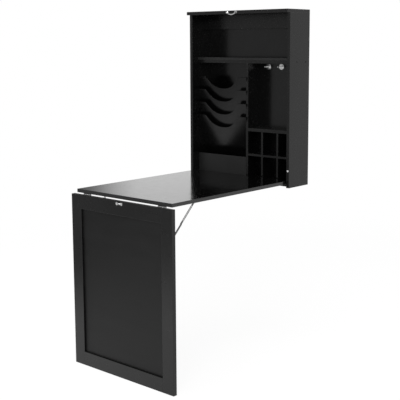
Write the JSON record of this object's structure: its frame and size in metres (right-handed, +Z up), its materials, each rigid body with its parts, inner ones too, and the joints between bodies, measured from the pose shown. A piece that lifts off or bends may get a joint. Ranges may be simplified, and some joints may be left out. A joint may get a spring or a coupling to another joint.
{
  "type": "fold-down wall desk",
  "caption": "Wall desk in a shallow case: a desk board folds down, carried by a hinged chalkboard leg panel; inside are shelves, cubbies, a letter rack and hooks.",
  "frame": {"origin": "centre of the four wall fixing holes, on the wall", "axes": "X right along the wall, seen from the room; Y into the wall; Z up"},
  "size_m": [0.584, 0.8874, 1.501],
  "materials": {
    "black_paint": "semi-gloss painted board",
    "desk_paint": "gloss painted board",
    "chalkboard": "matte chalkboard paint",
    "chrome": "polished",
    "steel": "satin zinc plate",
    "black_screw": "blackened",
    "bush": "moulded",
    "bumper": "soft",
    "beech": "bare turned wood"
  },
  "bodies": {
    "cabinet": {"side_panel_left": "black_paint", "side_panel_right": "black_paint", "top_panel": "black_paint", "bottom_panel": "black_paint", "back_panel": "black_paint", "hanging_rail": "black_paint", "main_shelf": "black_paint", "shelf_lip": "black_paint", "centre_divider": "black_paint", "lower_shelf": "black_paint", "cubby_cross_shelf": "black_paint", "cubby_divider_left": "black_paint", "cubby_divider_right": "black_paint", "letter_tier_top": "black_paint", "letter_tier_upper": "black_paint", "letter_tier_lower": "black_paint", "letter_tier_bottom": "black_paint", "pocket_floor_strips": "black_paint", "rack_floor": "black_paint", "rack_apron": "black_paint", "coat_hooks": "chrome", "latch_screw": "chrome", "latch_washer": "chrome", "shelf_screws": "black_screw", "pivot_bushes": "bush", "bumper": "bumper", "case_dowels": "beech"},
    "desk": {"desk_top": "desk_paint", "desk_pivot_pins": "steel", "desk_hinge_leaves": "steel", "hinge_pins": "steel", "desk_hinge_screws": "steel", "stay_desk_brackets": "steel", "stay_desk_screws": "steel", "stay_desk_rivets": "steel"},
    "leg": {"leg_stile_left": "black_paint", "leg_stile_right": "black_paint", "leg_rail_top": "black_paint", "leg_rail_bottom": "black_paint", "chalkboard_panel": "chalkboard", "leg_hinge_leaves": "steel", "leg_hinge_screws": "steel", "keeper_plate": "chrome", "keeper_screws": "chrome", "stay_leg_brackets": "steel", "stay_leg_screws": "steel", "stay_leg_rivets": "steel"},
    "stay_upper_left": {"stay_upper_arm_left": "steel", "knuckle_upper_left": "steel"},
    "stay_upper_right": {"stay_upper_arm_right": "steel", "knuckle_upper_right": "steel"},
    "stay_lower_left": {"stay_lower_arm_left": "steel", "knuckle_lower_left": "steel"},
    "stay_lower_right": {"stay_lower_arm_right": "steel", "knuckle_lower_right": "steel"},
    "latch_hook": {"latch_hook": "chrome"}
  },
  "joints": [
    {"name": "desk_fold", "type": "hinge", "parent": "cabinet", "child": "desk", "pos_m": [0, -0.1275, -0.706], "axis": [-1, 0, 0], "range_deg": [0, 90]},
    {"name": "leg_fold", "type": "hinge", "parent": "desk", "child": "leg", "pos_m": [0, -0.859, -0.7185], "axis": [1, 0, 0], "range_deg": [0, 90]},
    {"name": "latch_swing", "type": "hinge", "parent": "cabinet", "child": "latch_hook", "pos_m": [-0.0456, -0.16585, 0.04], "axis": [0, 1, 0], "range_deg": [0, 28.7]},
    {"name": "stay_upper_fold_left", "type": "hinge", "parent": "desk", "child": "stay_upper_left", "pos_m": [-0.2441, -0.709, -0.7185], "axis": [1, 0, 0], "range_deg": [0, 135]},
    {"name": "stay_lower_fold_left", "type": "hinge", "parent": "leg", "child": "stay_lower_left", "pos_m": [-0.2459, -0.859, -0.8685], "axis": [-1, 0, 0], "range_deg": [0, 135]},
    {"name": "stay_upper_fold_right", "type": "hinge", "parent": "desk", "child": "stay_upper_right", "pos_m": [0.2441, -0.709, -0.7185], "axis": [1, 0, 0], "range_deg": [0, 135]},
    {"name": "stay_lower_fold_right", "type": "hinge", "parent": "leg", "child": "stay_lower_right", "pos_m": [0.2459, -0.859, -0.8685], "axis": [-1, 0, 0], "range_deg": [0, 135]}
  ],
  "couplings": [
    {"joint": "leg_fold", "follows": "desk_fold", "ratio": 1},
    {"joint": "stay_upper_fold_left", "follows": "desk_fold", "ratio": 1.5},
    {"joint": "stay_lower_fold_left", "follows": "desk_fold", "ratio": 1.5},
    {"joint": "stay_upper_fold_right", "follows": "desk_fold", "ratio": 1.5},
    {"joint": "stay_lower_fold_right", "follows": "desk_fold", "ratio": 1.5}
  ]
}
